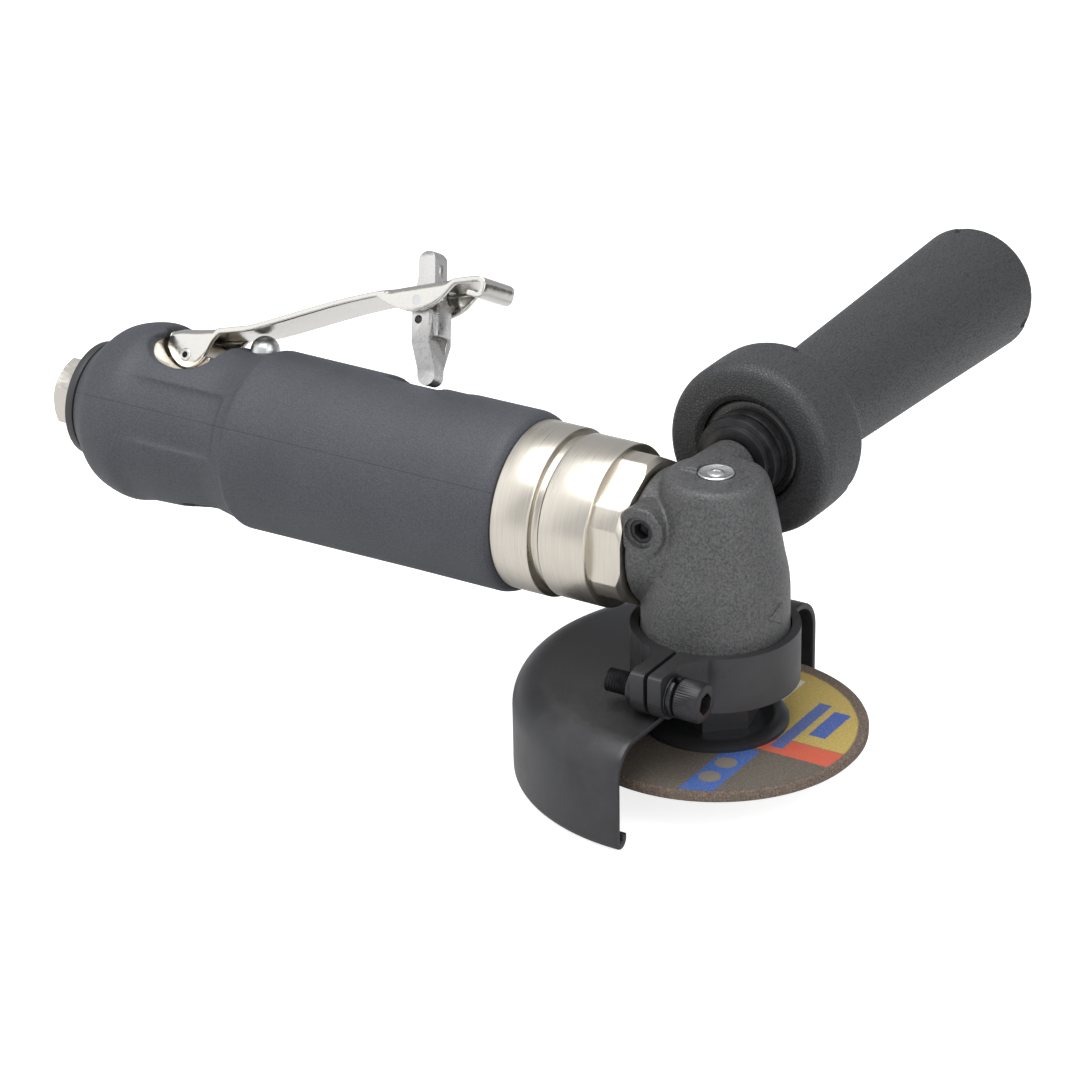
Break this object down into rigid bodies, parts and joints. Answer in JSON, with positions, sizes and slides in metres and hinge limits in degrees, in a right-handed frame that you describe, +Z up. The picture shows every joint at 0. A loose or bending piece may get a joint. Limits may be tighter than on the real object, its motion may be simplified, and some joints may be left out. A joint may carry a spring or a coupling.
{
  "type": "pneumatic angle grinder",
  "caption": "Air-driven right-angle cut-off grinder: vane motor in a sleeved body, lever throttle with lock-off, bevel head, half guard, flat wheel and side handle",
  "frame": {"origin": "centre of the air inlet's mouth, on the motor's axis", "axes": "+X runs along the motor from the inlet to the head, +Z is up along the spindle away from the wheel, +Y is the side handle's side"},
  "size_m": [0.2346, 0.207, 0.1111],
  "materials": {
    "nickel": "satin nickel plate on machined steel",
    "grip_rubber": "fine grained moulded elastomer",
    "black_plastic": "leather grained black plastic",
    "rubber": "smooth black rubber",
    "felt": "pressed felt",
    "bright_steel": "bright nickel plated steel",
    "brass": "machined brass",
    "ground_steel": "ground and polished steel",
    "cast_plate": "machined aluminium",
    "blade_fibre": "resin and fibre laminate",
    "head_coating": "charcoal wrinkle coating on a cast head",
    "black_oxide": "black oxide on steel, satin",
    "abrasive": "resin bonded abrasive grain"
  },
  "bodies": {
    "housing": {"motor_housing": "nickel", "grip_sleeve": "grip_rubber", "rear_cap": "black_plastic", "muffler": "felt", "inlet_bushing": "nickel", "inlet_strainer": "bright_steel", "tip_valve_seat": "brass", "valve_spring": "bright_steel", "plunger_bushing": "brass", "plunger_seal": "rubber", "lever_pin": "bright_steel", "rear_bearing_plate": "cast_plate", "rear_bearing": "ground_steel", "cylinder": "ground_steel", "front_bearing_plate": "cast_plate", "front_bearing": "ground_steel", "collar_nut": "nickel", "collar_seal": "rubber", "head_housing": "head_coating", "pinion_bearing": "ground_steel", "bearing_spacer": "cast_plate", "upper_spindle_bearing": "ground_steel", "lower_spindle_bearing": "ground_steel", "bearing_retainer": "cast_plate", "spindle_seal": "rubber", "grease_fitting": "ground_steel", "set_screw": "black_oxide", "side_handle_grip": "black_plastic", "side_handle_stud": "black_oxide", "side_handle_damper": "rubber", "side_handle_washers": "black_oxide"},
    "rotor": {"rotor": "ground_steel", "rotor_blades": "blade_fibre", "bevel_pinion": "ground_steel"},
    "spindle": {"spindle": "ground_steel", "bevel_gear": "ground_steel", "inner_flange": "black_oxide", "cutoff_wheel": "abrasive", "outer_flange": "black_oxide", "wheel_screw": "black_oxide"},
    "guard": {"guard_shell": "black_oxide", "clamp_band": "black_oxide", "clamp_screw": "black_oxide", "clamp_washer": "black_oxide", "clamp_nut": "black_oxide"},
    "throttle": {"throttle_lever": "bright_steel", "lock_off_pin": "bright_steel", "lock_off_spring": "bright_steel"},
    "lock_off": {"lock_off_lever": "bright_steel"},
    "plunger": {"valve_plunger": "bright_steel"},
    "valve": {"tip_valve": "bright_steel"},
    "regulator": {"speed_regulator": "brass"}
  },
  "joints": [
    {"name": "throttle", "type": "hinge", "parent": "housing", "child": "throttle", "pos_m": [0.0375, 0.0076, 0.0143], "axis": [0, 0.8829, -0.4695], "range_deg": [0, 9], "stiffness_Nm_per_rad": 0.9, "springref_deg": -6.88},
    {"name": "lock_off_swing", "type": "hinge", "parent": "throttle", "child": "lock_off", "pos_m": [0.1023, 0.02014, 0.03788], "axis": [0, -0.8829, 0.4695], "range_deg": [0, 60.5]},
    {"name": "plunger_slide", "type": "slide", "parent": "housing", "child": "plunger", "axis": [0, -0.4695, -0.8829], "range_m": [0, 0.0037]},
    {"name": "valve_tilt", "type": "hinge", "parent": "housing", "child": "valve", "pos_m": [0.0283, 0.00216, 0.00406], "axis": [0, 0.8829, -0.4695], "range_deg": [0, 7.5]},
    {"name": "wheel_spin", "type": "hinge", "parent": "housing", "child": "spindle", "pos_m": [0.1965, 0, 0], "axis": [0, 0, 1], "continuous": true},
    {"name": "rotor_spin", "type": "hinge", "parent": "housing", "child": "rotor", "pos_m": [0.1965, 0, 0], "axis": [1, 0, 0], "continuous": true},
    {"name": "guard_turn", "type": "hinge", "parent": "housing", "child": "guard", "pos_m": [0.1965, 0, 0], "axis": [0, 0, 1], "range_deg": [-45, 60]},
    {"name": "regulator_turn", "type": "hinge", "parent": "housing", "child": "regulator", "pos_m": [0.0495, -0.00704, -0.01324], "axis": [0, 0.4695, 0.8829], "range_deg": [-90, 90]}
  ],
  "couplings": [
    {"joint": "lock_off_swing", "follows": "throttle", "ratio": 6.667},
    {"joint": "plunger_slide", "follows": "throttle", "m_per_rad": 0.02292},
    {"joint": "valve_tilt", "follows": "throttle", "ratio": 0.8148},
    {"joint": "rotor_spin", "follows": "wheel_spin", "ratio": -1.4}
  ]
}
